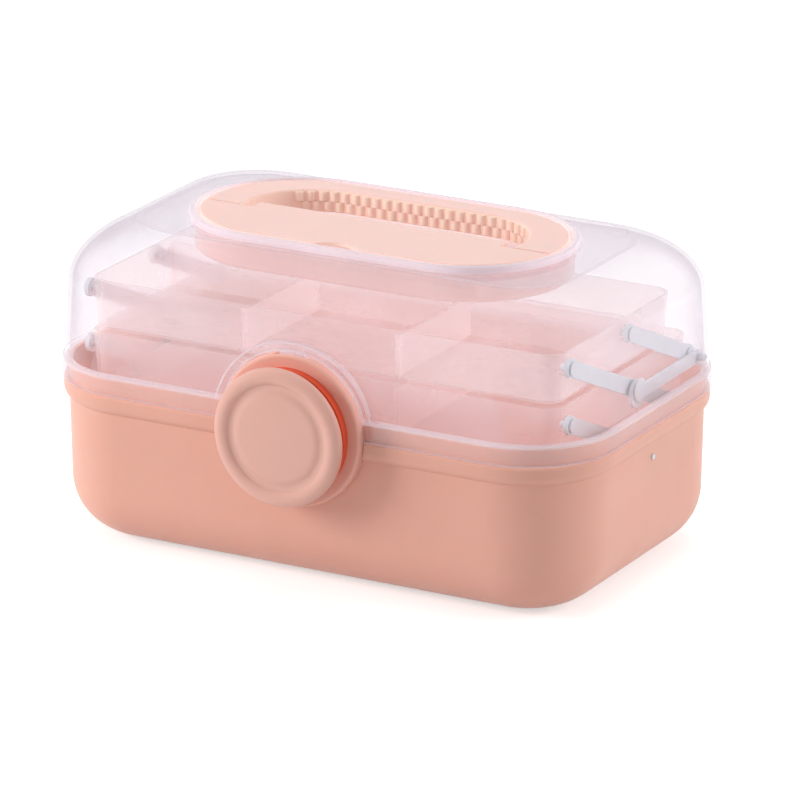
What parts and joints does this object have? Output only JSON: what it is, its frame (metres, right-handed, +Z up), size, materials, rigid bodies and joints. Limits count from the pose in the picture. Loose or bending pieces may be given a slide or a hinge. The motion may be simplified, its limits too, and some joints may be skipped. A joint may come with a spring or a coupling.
{
  "type": "first aid box with handle",
  "caption": "Rounded first aid box with a clear hinged lid, folding carry handle in a well, round push latch and trays that rise like stairs as the lid opens.",
  "frame": {"origin": "middle of the flat underside of the tub, on the surface it stands on", "axes": "+X along the box to the right of the latch, +Y from the latch to the hinges, +Z up"},
  "size_m": [0.3318, 0.232, 0.179],
  "materials": {
    "tub_plastic": "satin gloss",
    "latch_plastic": "satin gloss",
    "clear_plastic": "polished clear",
    "handle_plastic": "satin gloss",
    "tray_plastic": "frosted translucent",
    "arm_plastic": "satin gloss",
    "steel": "plain drawn"
  },
  "bodies": {
    "base": {"base_tub": "tub_plastic", "latch_base": "latch_plastic", "latch_screws": "steel", "latch_springs": "steel", "lever_pin": "steel", "arm_bracket_left": "arm_plastic", "arm_bracket_right": "arm_plastic", "bracket_screws": "steel", "bracket_rivets": "arm_plastic", "base_arm_pins": "arm_plastic", "lid_hinge_pins": "steel"},
    "lid": {"lid_shell": "clear_plastic", "handle_housing": "handle_plastic", "handle_pins": "steel", "cover_pins": "steel", "lid_link_pins": "steel"},
    "carry_handle": {"carry_handle": "handle_plastic"},
    "compartment_cover": {"compartment_cover": "handle_plastic"},
    "latch_button": {"latch_button": "latch_plastic"},
    "latch_lever": {"latch_lever": "latch_plastic"},
    "long_arms": {"long_arm_left": "arm_plastic", "long_arm_right": "arm_plastic"},
    "lower_arms": {"lower_arm_left": "arm_plastic", "lower_arm_right": "arm_plastic"},
    "upper_arms": {"upper_arm_left": "arm_plastic", "upper_arm_right": "arm_plastic"},
    "lid_links": {"lid_link_left": "arm_plastic", "lid_link_right": "arm_plastic"},
    "lower_tray": {"lower_tray": "tray_plastic", "lower_cross_dividers": "tray_plastic", "lower_tray_pins": "arm_plastic"},
    "upper_tray": {"upper_tray": "tray_plastic", "upper_long_divider": "tray_plastic", "upper_cross_dividers": "tray_plastic", "upper_tray_pins": "arm_plastic"}
  },
  "joints": [
    {"name": "lid_hinge", "type": "hinge", "parent": "base", "child": "lid", "pos_m": [0, 0.1055, 0.092], "axis": [-1, 0, 0], "range_deg": [0, 100]},
    {"name": "long_arm_pivot", "type": "hinge", "parent": "base", "child": "long_arms", "pos_m": [0, 0.0755, 0.074], "axis": [-1, 0, 0], "range_deg": [0, 50]},
    {"name": "lower_arm_pivot", "type": "hinge", "parent": "base", "child": "lower_arms", "pos_m": [0, 0.0045, 0.074], "axis": [-1, 0, 0], "range_deg": [0, 50]},
    {"name": "lower_tray_level", "type": "hinge", "parent": "long_arms", "child": "lower_tray", "pos_m": [0, 0.0045, 0.1055], "axis": [-1, 0, 0], "range_deg": [-50, 0]},
    {"name": "upper_tray_level", "type": "hinge", "parent": "long_arms", "child": "upper_tray", "pos_m": [0, -0.0665, 0.137], "axis": [-1, 0, 0], "range_deg": [-50, 0]},
    {"name": "upper_arm_pivot", "type": "hinge", "parent": "lower_tray", "child": "upper_arms", "pos_m": [0, 0.0725, 0.1055], "axis": [-1, 0, 0], "range_deg": [0, 50]},
    {"name": "lid_link_pivot", "type": "hinge", "parent": "lid", "child": "lid_links", "pos_m": [0, 0.0765, 0.103], "axis": [-1, 0, 0], "range_deg": [-77.8, 0]},
    {"name": "handle_hinge", "type": "hinge", "parent": "lid", "child": "carry_handle", "pos_m": [0, 0, 0.1748], "axis": [1, 0, 0], "range_deg": [0, 90]},
    {"name": "cover_hinge", "type": "hinge", "parent": "lid", "child": "compartment_cover", "pos_m": [0, -0.0038, 0.175], "axis": [-1, 0, 0], "range_deg": [0, 60]},
    {"name": "latch_press", "type": "slide", "parent": "base", "child": "latch_button", "axis": [0, 1, 0], "range_m": [0, 0.0035], "stiffness_N_per_m": 600, "deforming": ["latch_springs"]},
    {"name": "lever_pivot", "type": "hinge", "parent": "base", "child": "latch_lever", "pos_m": [0, -0.1075, 0.092], "axis": [1, 0, 0], "range_deg": [0, 11]}
  ],
  "couplings": [
    {"joint": "long_arm_pivot", "follows": "lid_hinge", "ratio": 0.5},
    {"joint": "lower_arm_pivot", "follows": "lid_hinge", "ratio": 0.5},
    {"joint": "lower_tray_level", "follows": "lid_hinge", "ratio": -0.5},
    {"joint": "upper_tray_level", "follows": "lid_hinge", "ratio": -0.5},
    {"joint": "upper_arm_pivot", "follows": "lid_hinge", "ratio": 0.5},
    {"joint": "lid_link_pivot", "follows": "lid_hinge", "ratio": -0.778},
    {"joint": "lever_pivot", "follows": "latch_press", "rad_per_m": 50}
  ]
}
